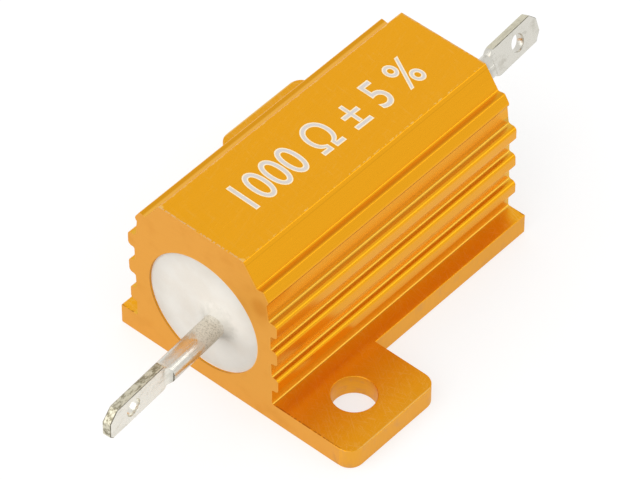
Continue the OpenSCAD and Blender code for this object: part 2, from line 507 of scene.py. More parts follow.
@dataclass(frozen=True)
class SawnAnodising:
    """Gold anodising over sawn ends, dull and a little paler than the drawn faces, with a painted shade and a
    painted highlight round the bore.
    """

    dye: Colour = linear(232, 167, 66)
    dull: Colour = linear(227, 161, 72)
    deep: Colour = linear(216, 142, 34)
    # painted shade and painted highlight on the bore's rim
    bore_rim_painted_shade: Colour = linear(140, 92, 44)
    bore_rim_painted_highlight: Colour = linear(252, 224, 170)
    roughness: float = 0.5
    saw_depth: float = 0.008
    bore_radius: float = BORE_RADIUS
    bore_z: float = BORE_Z
    dark_patch: tuple[float, float] = (5.7, 11.2)
    dark_reach: float = 1.2

    def build(self) -> bpy.types.Material:
        """Makes the material."""
        g = ShaderGraph("sawn_gold_anodising")
        pits = g.cloud((16.0, 16.0, 16.0), 4.0, 0.7)
        teeth = g.cloud((0.35, 8.0, 9.0), 2.0, 0.6, g.turned(g.place, 4.0, "Y"))
        patches = g.cloud((0.45, 0.45, 0.45), 2.0)
        x, y, z = g.axis("X"), g.axis("Y"), g.axis("Z")
        patch_x, patch_z = self.dark_patch
        from_patch = (x - patch_x).hypot((z - patch_z) * 0.7) + (patches - 0.5) * 1.6
        # a darker spot on the front end, between the bore and the shoulder
        darker_spots = from_patch.ramp(self.dark_reach, 0.2) * y.below(0.0, FINE)
        colour = g.mix((patches.ramp(0.5, 0.75) * 0.3).most(darker_spots * 0.8), self.dye, self.deep)
        colour = g.mix(pits.ramp(0.5, 0.7) * 0.45, colour, self.dull)
        # painted shade on the lower left of the bore's rim and a painted highlight on its upper right
        bore_rim = x.hypot(z - self.bore_z).below(self.bore_radius + 0.05, 0.02)
        side = (x + (z - self.bore_z)) / self.bore_radius
        colour = g.mix(bore_rim * side.ramp(-0.1, -0.8) * 0.75, colour, self.bore_rim_painted_shade)
        colour = g.mix(bore_rim * side.ramp(0.2, 0.9) * 0.6, colour, self.bore_rim_painted_highlight)
        return g.finish(
            Base_Color=g.shaded(colour, 0.95 + teeth * 0.05 + pits * 0.05),
            Metallic=0.92,
            Roughness=self.roughness + pits * 0.12,
            Normal=g.relief(teeth * 0.5 + pits, self.saw_depth, 0.7),
        )


@dataclass(frozen=True)
class MilledAnodising:
    """Gold anodising over the milled sides of flange and lugs, with the cutter's upright marks."""

    dye: Colour = linear(236, 172, 60)
    dull: Colour = linear(221, 163, 88)
    roughness: float = 0.5
    mark_depth: float = 0.01

    def build(self) -> bpy.types.Material:
        """Makes the material."""
        g = ShaderGraph("milled_gold_anodising")
        passes = g.cloud((5.0, 5.0, 0.35), 2.0, 0.55)
        pits = g.cloud((12.0, 12.0, 12.0), 4.0, 0.7)
        patches = g.cloud((0.9, 0.9, 0.7), 3.0, 0.6)
        colour = g.mix(patches.ramp(0.48, 0.72) * 0.6, self.dye, self.dull)
        return g.finish(
            Base_Color=g.shaded(colour, 0.94 + passes * 0.06 + pits * 0.06),
            Metallic=0.92,
            Roughness=self.roughness + pits * 0.15,
            Normal=g.relief(passes + pits * 0.6, self.mark_depth, 0.7),
        )


@dataclass(frozen=True)
class BoredAnodising:
    """Gold anodising on the walls of the bore and of the fixing holes, with fine rings."""

    dye: Colour = linear(236, 166, 46)
    dull: Colour = linear(220, 150, 84)
    roughness: float = 0.4
    ring_depth: float = 0.006

    def build(self) -> bpy.types.Material:
        """Makes the material."""
        g = ShaderGraph("bored_gold_anodising")
        rings = g.cloud((0.5, 0.5, 9.0), 2.0, 0.6)
        patches = g.cloud((1.6, 1.6, 2.4), 3.0, 0.6)
        colour = g.mix(patches.ramp(0.5, 0.7) * 0.4, self.dye, self.dull)
        return g.finish(
            Base_Color=g.shaded(colour, 0.92 + rings * 0.14),
            Metallic=0.95,
            Roughness=self.roughness + patches * 0.1,
            Normal=g.relief(rings, self.ring_depth, 0.6),
        )


@dataclass(frozen=True)
class CementFinish:
    """White silicone cement: chalky, a little uneven, greyer round the lead, with painted shade towards the
    bore wall.
    """

    body: Colour = linear(247, 242, 233)
    warm: Colour = linear(243, 236, 225)
    grey: Colour = linear(208, 204, 193)
    roughness: float = 0.8
    pore_depth: float = 0.02
    stain_reach: float = 1.1
    bore_radius: float = BORE_RADIUS
    bore_z: float = BORE_Z
    leads: tuple[tuple[float, float], tuple[float, float]] = ((1.355, 6.847), (-0.655, 6.473))
    lead_radius: float = LEAD_RADIUS

    def build(self) -> bpy.types.Material:
        """Makes the material."""
        g = ShaderGraph("white_cement_fill")
        x, y, z = g.axis("X"), g.axis("Y"), g.axis("Z")
        pores = g.cloud((5.5, 5.5, 5.5), 4.0, 0.65)
        clouds = g.cloud((0.5, 0.5, 0.5), 2.0)
        ragged = g.cloud((2.2, 2.2, 2.2), 3.0, 0.6)
        (front_x, front_z), (rear_x, rear_z) = self.leads
        rearward = y.above(0.0, FINE)
        lead_x = front_x + rearward * (rear_x - front_x)
        lead_z = front_z + rearward * (rear_z - front_z)
        reach = (x - lead_x).hypot(z - lead_z) - self.lead_radius
        stain = (reach + (ragged - 0.5) * 1.2).ramp(self.stain_reach, 0.0)
        colour = g.mix(clouds.ramp(0.35, 0.7), self.body, self.warm)
        colour = g.mix(stain * 0.65, colour, self.grey)
        # painted shade: the cement darker towards the bore wall
        from_wall = self.bore_radius - x.hypot(z - self.bore_z)
        return g.finish(
            Base_Color=g.shaded(colour, (0.97 + pores * 0.05) * from_wall.ramp(0.0, 1.8, 0.9, 1.0)),
            Roughness=self.roughness,
            Specular_IOR_Level=0.25,
            Normal=g.relief(pores, self.pore_depth, 0.5),
        )


@dataclass(frozen=True)
class TinnedFinish:
    """Hot-tinned lead: bright, mottled and drawn along its length, with cement left near the seal, and
    painted shade on its round part and on the rear lead.
    """

    tin: Colour = linear(232, 229, 219)
    dull: Colour = linear(188, 183, 168)
    cement: Colour = linear(230, 226, 216)
    residue: Colour = linear(212, 206, 191)
    darker_spots: Colour = linear(170, 164, 148)
    roughness: float = 0.22
    ripple_depth: float = 0.022
    residue_from: float = 15.5
    residue_to: float = 16.7
    tag_from: float = 19.9
    # painted shade: the round lead darker than the flat tag, and the rear lead darker than the front one
    round_lead_painted_shade: float = 0.82
    rear_lead_painted_shade: float = 0.85

    def build(self) -> bpy.types.Material:
        """Makes the material."""
        g = ShaderGraph("tinned_lead_wire")
        y = abs(g.axis("Y"))
        drawn = g.cloud((6.0, 0.7, 6.0), 3.0, 0.6)
        mottle = g.cloud((2.0, 0.9, 2.0), 4.0, 0.65)
        specks = g.cloud((8.0, 8.0, 8.0), 3.0, 0.7)
        ragged = g.cloud((1.8, 1.2, 1.8), 3.0, 0.6)
        residue = (y + (ragged - 0.5) * 3.2).ramp(self.residue_to, self.residue_from)
        # painted shade on the round lead and on the rear lead
        tone = y.ramp(self.tag_from - 0.3, self.tag_from, self.round_lead_painted_shade, 1.0)
        tone = tone * g.axis("Y").ramp(-FINE, FINE, 1.0, self.rear_lead_painted_shade)
        colour = g.mix(mottle.ramp(0.5, 0.75) * 0.5, self.tin, self.dull)
        colour = g.shaded(colour, (0.93 + specks * 0.1) * tone)
        chalk = g.mix((y + (ragged - 0.5) * 1.2).ramp(13.3, 14.7), self.cement, self.residue)
        chalk = g.mix(specks.ramp(0.45, 0.66) * (y + ragged * 1.5).ramp(13.8, 15.4), chalk, self.darker_spots)
        return g.finish(
            Base_Color=g.mix(residue * 0.94, colour, chalk),
            Metallic=1.0 - residue * 0.85,
            Roughness=self.roughness + mottle.ramp(0.4, 0.75) * 0.16 + residue * 0.4,
            Normal=g.relief(mottle + drawn * 0.6 + specks * 0.2, self.ripple_depth, 0.6),
        )


@dataclass(frozen=True)
class ShearedTinFinish:
    """Sheared sides of a tag: yellowish, torn along their length and duller at the front tag."""

    light: Colour = linear(214, 209, 188)
    dark: Colour = linear(142, 135, 112)
    roughness: float = 0.3
    tear_depth: float = 0.03

    def build(self) -> bpy.types.Material:
        """Makes the material."""
        g = ShaderGraph("sheared_tinned_side")
        tears = g.cloud((3.6, 1.6, 3.6), 4.0, 0.7)
        front = g.axis("Y").ramp(FINE, -FINE, 0.25, 1.0)
        return g.finish(
            Base_Color=g.mix(tears.ramp(0.42, 0.62) * front, self.light, self.dark),
            Metallic=1.0,
            Roughness=self.roughness + tears * 0.2,
            Normal=g.relief(tears, self.tear_depth, 0.6),
        )


@dataclass(frozen=True)
class InkFinish:
    """Pad-printed ink, thin enough for the metal's tone to come through in places."""

    name: str
    ink: Colour
    thin: Colour
    roughness: float = 0.6

    def build(self) -> bpy.types.Material:
        """Makes the material."""
        g = ShaderGraph(self.name)
        patches = g.cloud((2.4, 1.6, 2.4), 3.0, 0.65)
        specks = g.cloud((14.0, 14.0, 14.0), 2.0)
        colour = g.mix(patches.ramp(0.5, 0.78) * 0.8, self.ink, self.thin)
        return g.finish(
            Base_Color=g.shaded(colour, 0.96 + specks * 0.06),
            Roughness=self.roughness,
            Specular_IOR_Level=0.3,
            Normal=g.relief(specks, 0.004, 0.4),
        )


@dataclass(frozen=True)
class MottledFinish:
    """Two tones in soft patches, for the small and the hidden pieces."""

    name: str
    main: Colour
    patch: Colour
    scale: Colour
    roughness: float
    metallic: float = 1.0
    detail: float = 3.0
    rough: float = 0.6
    patch_from: float = 0.4
    patch_to: float = 0.75
    share: float = 1.0
    uneven: float = 0.15
    depth: float = 0.006
    strength: float = 0.6

    def build(self) -> bpy.types.Material:
        """Makes the material."""
        g = ShaderGraph(self.name)
        patches = g.cloud(self.scale, self.detail, self.rough)
        share = patches.ramp(self.patch_from, self.patch_to) * self.share
        return g.finish(
            Base_Color=g.mix(share, self.main, self.patch),
            Metallic=self.metallic,
            Roughness=self.roughness + patches * self.uneven,
            Normal=g.relief(patches, self.depth, self.strength),
        )


# dark colour for the tag's ridges and the press step; on the press step it is a painted shadow
DARK_EDGE_AND_PAINTED_SHADOW = MottledFinish(
    "dark_edge_and_painted_shadow", linear(150, 144, 130), linear(104, 98, 84), (2.0, 1.6, 2.0), 0.42,
    patch_from=0.42, patch_to=0.6, uneven=0.1, depth=0.01, strength=0.5,
)
FIRED_CERAMIC = MottledFinish(
    "fired_ceramic", linear(226, 221, 206), linear(190, 182, 164), (3.0, 3.0, 3.0), 0.62, metallic=0.0,
    detail=4.0, rough=0.7, patch_from=0.58, patch_to=0.7, share=0.6, depth=0.01, strength=0.5,
)
RESISTANCE_WIRE = MottledFinish(
    "resistance_wire_alloy", linear(150, 142, 130), linear(106, 98, 90), (3.0, 3.0, 3.0), 0.32
)
CAP_STEEL = MottledFinish(
    "pressed_cap_steel", linear(196, 196, 194), linear(150, 146, 140), (4.0, 0.8, 4.0), 0.28
)


@dataclass(frozen=True)
class FloorFinish:
    """White sweep whose own brightness reaches white while it still takes the shadow."""

    paper: float = 0.36
    lift: float = 0.64

    def build(self) -> bpy.types.Material:
        """Makes the material."""
        g = ShaderGraph("white_sweep")
        seen = g.node("ShaderNodeLightPath", output="Is Camera Ray").most(
            g.node("ShaderNodeLightPath", output="Is Glossy Ray")
        )
        paper = (self.paper, self.paper, self.paper, 1.0)
        diffuse = g.node("ShaderNodeBsdfDiffuse", None, {"Color": paper})
        glow = g.node("ShaderNodeEmission", None, {"Color": WHITE, "Strength": seen * self.lift})
        both = g.node("ShaderNodeAddShader", None, {0: diffuse, 1: glow})
        g.node("ShaderNodeOutputMaterial", None, {"Surface": both})
        return g.material


# ---------------------------------------------------------------- mesh bench


def put(name: str, data: bpy.types.ID) -> bpy.types.Object:
    """Adds an object to the scene.

    Args:
        name: Its name.
        data: Its mesh, curve, lamp or camera.

    Returns:
        The object.
    """
    made = bpy.data.objects.new(name, data)
    bpy.context.scene.collection.objects.link(made)
    return made


def mesh_of(name: str, bm: bmesh.types.BMesh) -> bpy.types.Mesh:
    """Turns a bench mesh into a mesh, and frees it.

    Args:
        name: The mesh's name.
        bm: The bench mesh.

    Returns:
        The mesh.
    """
    mesh = bpy.data.meshes.new(name)
    bm.to_mesh(mesh)
    bm.free()
    return mesh


class Bench:
    """Steps that several pieces share while they are still meshes in millimetres."""

    @staticmethod
    def outline(corners: Iterable[Sequence[float]]) -> bmesh.types.BMesh:
        """Joins corners into one closed flat face.

        Args:
            corners: The corners in order, three numbers each.

        Returns:
            A mesh with that face.
        """
        bm = bmesh.new()
        bm.faces.new([bm.verts.new(c) for c in corners])
        bm.verts.ensure_lookup_table()
        return bm

    @staticmethod
    def round_corners(
        bm: bmesh.types.BMesh, pick: Callable[[Vector], bool], radius: float, steps: int
    ) -> None:
        """Rounds the corners of a flat outline.

        Args:
            bm: Mesh with the outline.
            pick: Tells which corners are rounded.
            radius: Length taken off each side of a corner.
            steps: Chords in each rounded corner.
        """
        chosen = [v for v in bm.verts if pick(v.co)]
        bmesh.ops.bevel(
            bm, geom=chosen, offset=radius, offset_type="OFFSET", segments=steps, profile=0.5,
            affect="VERTICES", material=-1, clamp_overlap=True,
        )

    @staticmethod
    def pull(bm: bmesh.types.BMesh, by: Vector) -> None:
        """Extrudes every face of a flat mesh into a closed solid.

        Args:
            bm: Flat mesh.
            by: How far and which way.
        """
        made = bmesh.ops.extrude_face_region(bm, geom=list(bm.faces), use_keep_orig=True)
        moved = [e for e in made["geom"] if isinstance(e, bmesh.types.BMVert)]
        bmesh.ops.translate(bm, verts=moved, vec=by)
        bmesh.ops.recalc_face_normals(bm, faces=list(bm.faces))

    @staticmethod
    def rod(radius: float, start: Vector, end: Vector, sides: int) -> bmesh.types.BMesh:
        """Makes a closed round bar.

        Args:
            radius: Its radius.
            start: Middle of its first end.
            end: Middle of its last end.
            sides: Faces round it.

        Returns:
            The bar.
        """
        bm = bmesh.new()
        span = end - start
        turn = span.to_track_quat("Z", "Y").to_matrix().to_4x4()
        place = Matrix.Translation((start + end) / 2) @ turn
        bmesh.ops.create_cone(
            bm, cap_ends=True, segments=sides, radius1=radius, radius2=radius, depth=span.length, matrix=place
        )
        return bm

    @staticmethod
    def soften(
        bm: bmesh.types.BMesh,
        width: float,
        steps: int,
        limit: float = 25.0,
        pick: Callable[[bmesh.types.BMEdge], bool] = lambda edge: True,
    ) -> None:
        """Rounds the edges where two faces meet at an angle.

        Args:
            bm: Mesh to work on.
            width: Length taken off each side of an edge.
            steps: Faces across each rounded edge.
            limit: Least angle in degrees of an edge that is rounded.
            pick: Tells which of those edges are rounded.
        """
        angle = math.radians(limit)
        folds = [e for e in bm.edges if len(e.link_faces) == 2 and e.calc_face_angle(0.0) > angle]
        chosen = [e for e in folds if pick(e)]
        bmesh.ops.bevel(
            bm, geom=chosen, offset=width, offset_type="OFFSET", segments=steps, profile=0.5,
            affect="EDGES", material=-1, clamp_overlap=False, loop_slide=True,
        )

    @staticmethod
    def combine(base: bmesh.types.BMesh, others: Iterable[bmesh.types.BMesh], how: str) -> bmesh.types.BMesh:
        """Cuts, joins or intersects closed solids.

        Args:
            base: Solid that is kept.
            others: Solids that it is combined with, which are used up.
            how: DIFFERENCE, UNION or INTERSECT.

        Returns:
            The combined solid.
        """
        holder = put("blank", mesh_of("blank", base))
        for other in others:
            tool = put("tool", mesh_of("tool", other))
            step = holder.modifiers.new("combine", "BOOLEAN")
            step.operation, step.solver, step.object = how, "EXACT", tool
            graph = bpy.context.evaluated_depsgraph_get()
            result = bpy.data.meshes.new_from_object(holder.evaluated_get(graph), depsgraph=graph)
            holder.modifiers.clear()
            holder.data = result
            bpy.data.objects.remove(tool)
        bm = bmesh.new()
        bm.from_mesh(holder.data)
        bpy.data.objects.remove(holder)
        bmesh.ops.remove_doubles(bm, verts=list(bm.verts), dist=FINE)
        return bm

    @staticmethod
    def publish(
        name: str,
        bm: bmesh.types.BMesh,
        materials: Sequence[bpy.types.Material],
        node: str | None,
        slot: Slot | None,
        crease: float = 40.0,
    ) -> bpy.types.Object:
        """Turns a bench mesh into a finished piece of the object.

        Args:
            name: The piece's name.
            bm: Its mesh in millimetres, which is used up.
            materials: Its materials in the order of the faces' numbers.
            node: Solid that it stands for, if any.
            slot: Material slot of the imported record; not used.
            crease: Angle in degrees past which an edge is shaded sharp.

        Returns:
            The piece.
        """
        bmesh.ops.scale(bm, verts=list(bm.verts), vec=(MM, MM, MM))
        mesh = mesh_of(name, bm)
        for material in materials:
            mesh.materials.append(material)
        mesh.shade_smooth()
        mesh.set_sharp_from_angle(angle=math.radians(crease))
        piece = put(name, mesh)
        piece.modifiers.new("even_shading", "WEIGHTED_NORMAL").keep_sharp = True
        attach(piece, BODY)
        if node:
            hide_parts(node)
        LOG.info("%s: %d faces", name, len(mesh.polygons))
        return piece


# ---------------------------------------------------------------- the pieces


@dataclass
class Housing:
    """The finned extrusion: drawn in one section, milled in plan, bored and drilled."""

    length: float = LENGTH
    height: float = HEIGHT
    crown_half: float = 4.12
    crown_foot: float = 5.34
    foot_z: float = 13.4
    ledge_z: float = LEDGE_Z
    ledge_half: float = 6.06
    groove_depth: float = 0.12
    groove_inset: float = 0.1
    shoulder_half: float = 6.52
    shoulder_slope: float = 0.75
    shoulder_side: float = 0.2
    shoulder_under: float = 0.22
    neck_half: float = 6.36
    neck_foot_half: float = 6.55
    waist_half: float = 6.7
    fin_depth: float = 0.62
    fin_thick: float = 1.4
    fin_middles: tuple[float, ...] = (4.1, 6.97, 9.84)
    fin_round: float = 0.34
    root_round: float = 0.18
    crown_round: float = 0.1
    drawn_round: float = 0.1
    flange_thick: float = FLANGE_THICK
    flange_half: float = 8.35
    lug_reach: float = 14.43
    lug_len: float = 9.72
    lug_round: float = 1.2
    bore_radius: float = BORE_RADIUS
    bore_z: float = BORE_Z
    hole_radius: float = 1.75
    hole_x: float = 10.58
    hole_y: float = 8.78
    rim: float = 0.06
    sawn_rim: float = 0.02
    lean: float = LEAN
    lean_from: float = 4.5
    lean_to: float = 7.5
    past: float = 1.0
    fin_steps: int = 5
    root_steps: int = 4
    drawn_steps: int = 2
    lug_steps: int = 10
    bore_sides: int = 144
    hole_sides: int = 96

    def _half_corners(self) -> list[tuple[float, float, float]]:
        """Sharp corners of the right half of the section, from the base up to the top.

        Returns:
            The corners at the front end.
        """
        front = -self.length / 2
        neck_z = self.ledge_z - self.shoulder_slope - self.shoulder_side - self.shoulder_under
        points = [(0.0, 0.0), (self.lug_reach, 0.0), (self.lug_reach, self.flange_thick)]
        points.append((self.waist_half, self.flange_thick))
        for middle in self.fin_middles:
            low, high = middle - self.fin_thick / 2, middle + self.fin_thick / 2
            tip = self.waist_half + self.fin_depth
            above = self.neck_foot_half if middle == self.fin_middles[-1] else self.waist_half
            points += [(self.waist_half, low), (tip, low), (tip, high), (above, high)]
        points += [
            (self.neck_half, neck_z),
            (self.shoulder_half, neck_z + self.shoulder_under),
            (self.shoulder_half, self.ledge_z - self.shoulder_slope),
            (self.ledge_half, self.ledge_z),
            (self.crown_foot + self.groove_inset, self.ledge_z - self.groove_depth),
            (self.crown_foot, self.foot_z),
            (self.crown_half, self.height),
            (0.0, self.height),
        ]
        return [(x, front, z) for x, z in points]

    def _section(self) -> bmesh.types.BMesh:
        """Draws the whole section with the die's rounded corners.

        Returns:
            One flat face at the front end.
        """
        bm = Bench.outline(self._half_corners())
        tip, root = self.waist_half + self.fin_depth, self.waist_half
        fin_top = self.fin_middles[-1] + self.fin_thick / 2
        crown_edge = self.height - self.crown_round * 2
        shoulder_z = self.ledge_z - self.shoulder_slope

        def at_fin_tip(p: Vector) -> bool:
            """Tells whether a corner is one of a fin's tip."""
            return abs(p.x - tip) < FINE and p.z > self.flange_thick

        def at_root(p: Vector) -> bool:
            """Tells whether a corner lies at the foot of a groove or of the neck."""
            on_neck = abs(p.x - self.neck_foot_half) < FINE and abs(p.z - fin_top) < FINE
            return abs(p.x - root) < FINE or on_neck

        def at_crown_edge(p: Vector) -> bool:
            """Tells whether a corner is an edge of the flat top."""
            return abs(p.z - self.height) < FINE and p.x > FINE

        def at_ledge(p: Vector) -> bool:
            """Tells whether a corner lies between the shoulder's side and the crown."""
            return shoulder_z - FINE < p.z < crown_edge

        Bench.round_corners(bm, at_fin_tip, self.fin_round, self.fin_steps)
        Bench.round_corners(bm, at_root, self.root_round, self.root_steps)
        Bench.round_corners(bm, at_crown_edge, self.crown_round, self.root_steps)
        Bench.round_corners(bm, at_ledge, self.drawn_round, self.drawn_steps)
        bmesh.ops.mirror(bm, geom=list(bm.verts) + list(bm.edges) + list(bm.faces), merge_dist=FINE, axis="X")
        inner = [e for e in bm.edges if all(abs(v.co.x) < FINE for v in e.verts)]
        bmesh.ops.dissolve_edges(bm, edges=inner, use_verts=True)
        for vert in bm.verts:
            rise = (vert.co.z - self.lean_from) / (self.lean_to - self.lean_from)
            vert.co.x -= self.lean * min(max(rise, 0.0), 1.0)
        return bm

    def _plan(self) -> bmesh.types.BMesh:
        """What the mill leaves in plan: the body, its flange and one lug at each side.

        Returns:
            A closed solid, taller than the section.
        """
        end, inner = self.length / 2, self.length / 2 - self.lug_len
        lug, flange = self.lug_reach, self.flange_half
        half = [(-flange, -end), (lug, -end), (lug, -inner), (flange, -inner)]
        turned = [(-x, -y) for x, y in half]
        bm = Bench.outline([(x, y, -self.past) for x, y in half + turned])
        Bench.round_corners(bm, lambda p: abs(p.x) > lug - FINE, self.lug_round, self.lug_steps)
        Bench.pull(bm, Vector((0, 0, self.height + 2 * self.past)))
        return bm

    def _surface_of(self, face: bmesh.types.BMFace) -> Surface:
        """Tells how a face was made, from where it lies.

        Args:
            face: A face of the cut housing.

        Returns:
            The kind of surface.
        """
        middle, normal = face.calc_center_median(), face.normal
        if math.hypot(middle.x, middle.z - self.bore_z) < self.bore_radius + FINE and abs(normal.y) < 0.5:
            return Surface.BORED
        side = math.copysign(1.0, middle.x)
        from_hole = math.hypot(middle.x - side * self.hole_x, middle.y + side * self.hole_y)
        if from_hole < self.hole_radius + FINE and abs(normal.z) < 0.5:
            return Surface.BORED
        if abs(normal.y) > 0.9 and abs(abs(middle.y) - self.length / 2) < FINE:
            return Surface.SAWN
        if middle.z < self.flange_thick and abs(normal.z) < 0.1 and abs(middle.x) > self.waist_half:
            return Surface.MILLED
        return Surface.DRAWN

    def build(self) -> bpy.types.Object:
        """Models the housing and dresses it.

        Returns:
            The finished housing.
        """
        blank = self._section()
        Bench.pull(blank, Vector((0, self.length, 0)))
        body = Bench.combine(blank, [self._plan()], "INTERSECT")
        end = self.length / 2 + self.past
        front, rear = Vector((0, -end, self.bore_z)), Vector((0, end, self.bore_z))
        tools = [Bench.rod(self.bore_radius, front, rear, self.bore_sides)]
        for side in (-1, 1):
            x, y = side * self.hole_x, -side * self.hole_y
            low, high = Vector((x, y, -self.past)), Vector((x, y, self.flange_thick + self.past))
            tools.append(Bench.rod(self.hole_radius, low, high, self.hole_sides))
        body = Bench.combine(body, tools, "DIFFERENCE")
        for face in body.faces:
            face.material_index = self._surface_of(face).value
        Bench.soften(body, self.rim, 3, 25.0, self._is_milled_edge)
        Bench.soften(body, self.sawn_rim, 2, 60.0, lambda edge: all(self._at_end(v.co.y) for v in edge.verts))
        finishes = (DrawnAnodising(), SawnAnodising(), MilledAnodising(), BoredAnodising())
        return Bench.publish("finned_housing", body, [f.build() for f in finishes], "housing", Slot.ALUMINIUM)

    def _at_end(self, y: float) -> bool:
        """Tells whether a place along the length is a sawn end."""
        return abs(abs(y) - self.length / 2) < FINE

    def _is_milled_edge(self, edge: bmesh.types.BMEdge) -> bool:
        """Tells whether an edge was milled: one of the lugs, the flange's side or a fixing hole.

        Args:
            edge: An edge of the cut housing.

        Returns:
            True for such an edge.
        """
        if all(self._at_end(v.co.y) for v in edge.verts):
            return False
        low = all(v.co.z < self.flange_thick + FINE for v in edge.verts)
        return low and all(abs(v.co.x) > self.flange_half - FINE for v in edge.verts)


@dataclass
class CoreLine:
    """Where the core's axis came to lie in the bore. Its own frame has the axis along Y."""

    middle: Vector = field(default_factory=lambda: Vector((0.35, 0.0, 6.66)))
    yaw: float = 4.3
    pitch: float = 0.8

    def frame(self, end: End = End.REAR) -> Matrix:
        """Placement of something drawn on the +Y side of the core's own frame.

        Args:
            end: The end that it goes to.

        Returns:
            The matrix, in millimetres.
        """
        turn = Matrix.Rotation(math.radians(self.yaw), 4, "Z")
        turn = turn @ Matrix.Rotation(math.radians(-self.pitch), 4, "X")
        flip = Matrix.Rotation(math.pi, 4, "Z") if end is End.FRONT else Matrix.Identity(4)
        return Matrix.Translation(self.middle) @ turn @ flip


@dataclass
class CementFilling:
    """The white cement cast round the core, closed by a slightly uneven face at each end."""

    bore_radius: float = BORE_RADIUS
    bore_z: float = BORE_Z
    length: float = LENGTH
    recess: float = 0.14
    lead_radius: float = LEAD_RADIUS
    collar: float = 0.5
    collar_reach: float = 0.34
    collar_power: float = 1.3
    slump: float = 0.07
    slump_reach: float = 0.22
    swell: float = 0.03
    ripple: float = 0.012
    calm: float = 0.5
    cap_radius: float = 3.02
    cap_end: float = CAP_END
    cap_start: float = 5.8
    winding_radius: float = 2.937
    winding_half: float = 5.8
    sides: int = 120
    rings: int = 22
    core: CoreLine = field(default_factory=CoreLine)

    def _ring(self, bm: bmesh.types.BMesh, radius: float, place: Matrix) -> list[bmesh.types.BMEdge]:
        """Adds a circle whose axis is the place's Y.

        Args:
            bm: Mesh to add to.
            radius: The circle's radius.
            place: Where it goes.

        Returns:
            Its edges.
        """
        upright = place @ Matrix.Rotation(math.radians(-90), 4, "X")
        made = bmesh.ops.create_circle(bm, segments=self.sides, radius=radius, matrix=upright)
        ring = set(made["verts"])
        return [e for e in bm.edges if e.verts[0] in ring and e.verts[1] in ring]

    def _face_height(self, point: Vector, lead: Vector) -> float:
        """How far the cement stands out from its plain face.

        Args:
            point: A point on the face.
            lead: Where the lead leaves the face.

        Returns:
            The height in millimetres.
        """
        from_lead = max(math.hypot(point.x - lead.x, point.z - lead.z) - self.lead_radius, 0.0)
        from_wall = max(self.bore_radius - math.hypot(point.x, point.z - self.bore_z), 0.0)
        climb = self.collar * math.exp(-((from_lead / self.collar_reach) ** self.collar_power))
        slump = -self.slump * math.exp(-((from_wall / self.slump_reach) ** 2))
        swell = self.swell * noise.noise(point * 0.45) + self.ripple * noise.noise(point * 1.7)
        slump *= 0.6 + noise.noise(point * 0.5)
        return climb + slump + swell * min(from_wall / self.calm, 1.0)

    def _end_face(
        self, bm: bmesh.types.BMesh, end: End, inner: list[bmesh.types.BMEdge], lead: Vector
    ) -> list[bmesh.types.BMEdge]:
        """Closes one end with the cement's uneven face.

        Args:
            bm: Mesh to add to.
            end: The end that it closes.
            inner: Edges round the lead.
            lead: Where the lead leaves the face.

        Returns:
            The edges of the face's outer rim.
        """
        face_y = self.length / 2 - self.recess
        for vert in {v for e in inner for v in e.verts}:
            vert.co.y = end.value * face_y
        place = Matrix.Translation((0, end.value * face_y, self.bore_z))
        outer = self._ring(bm, self.bore_radius, place)
        made = bmesh.ops.bridge_loops(bm, edges=inner + outer)
        rims = set(inner) | set(outer)
        spokes = list({e for f in made["faces"] for e in f.edges} - rims)
        cut = bmesh.ops.subdivide_edges(bm, edges=spokes, cuts=self.rings, use_grid_fill=True)
        verts = {v for v in cut["geom"] if isinstance(v, bmesh.types.BMVert)}
        verts |= {v for e in inner for v in e.verts}
        for vert in verts:
            vert.co.y += end.value * self._face_height(vert.co, lead)
        return outer

    def build(self) -> bpy.types.Object:
        """Models the filling and dresses it.

        Returns:
            The finished filling.
        """
        bm = bmesh.new()
        frame_of_core = self.core.frame()
        face_y = self.length / 2 - self.recess
        reach = face_y / (frame_of_core.to_3x3() @ Vector((0, 1, 0))).y
        half = [
            (self.winding_half, self.winding_radius), (self.cap_start, self.cap_radius),
            (self.cap_end, self.cap_radius), (self.cap_end, self.lead_radius), (reach, self.lead_radius),
        ]
        stations = [(-along, radius) for along, radius in reversed(half)] + half
        loops = []
        for along, radius in stations:
            loops.append(self._ring(bm, radius, frame_of_core @ Matrix.Translation((0, along, 0))))
        for first, second in zip(loops, loops[1:]):
            bmesh.ops.bridge_loops(bm, edges=first + second)
        for end, inner in ((End.FRONT, loops[0]), (End.REAR, loops[-1])):
            lead = frame_of_core @ Vector((0, end.value * reach, 0))
            loops.append(self._end_face(bm, end, inner, lead))
        bmesh.ops.bridge_loops(bm, edges=loops[-2] + loops[-1])
        bmesh.ops.recalc_face_normals(bm, faces=list(bm.faces))
        return Bench.publish("cement_fill", bm, [CementFinish().build()], "cement_filling", Slot.CEMENT)


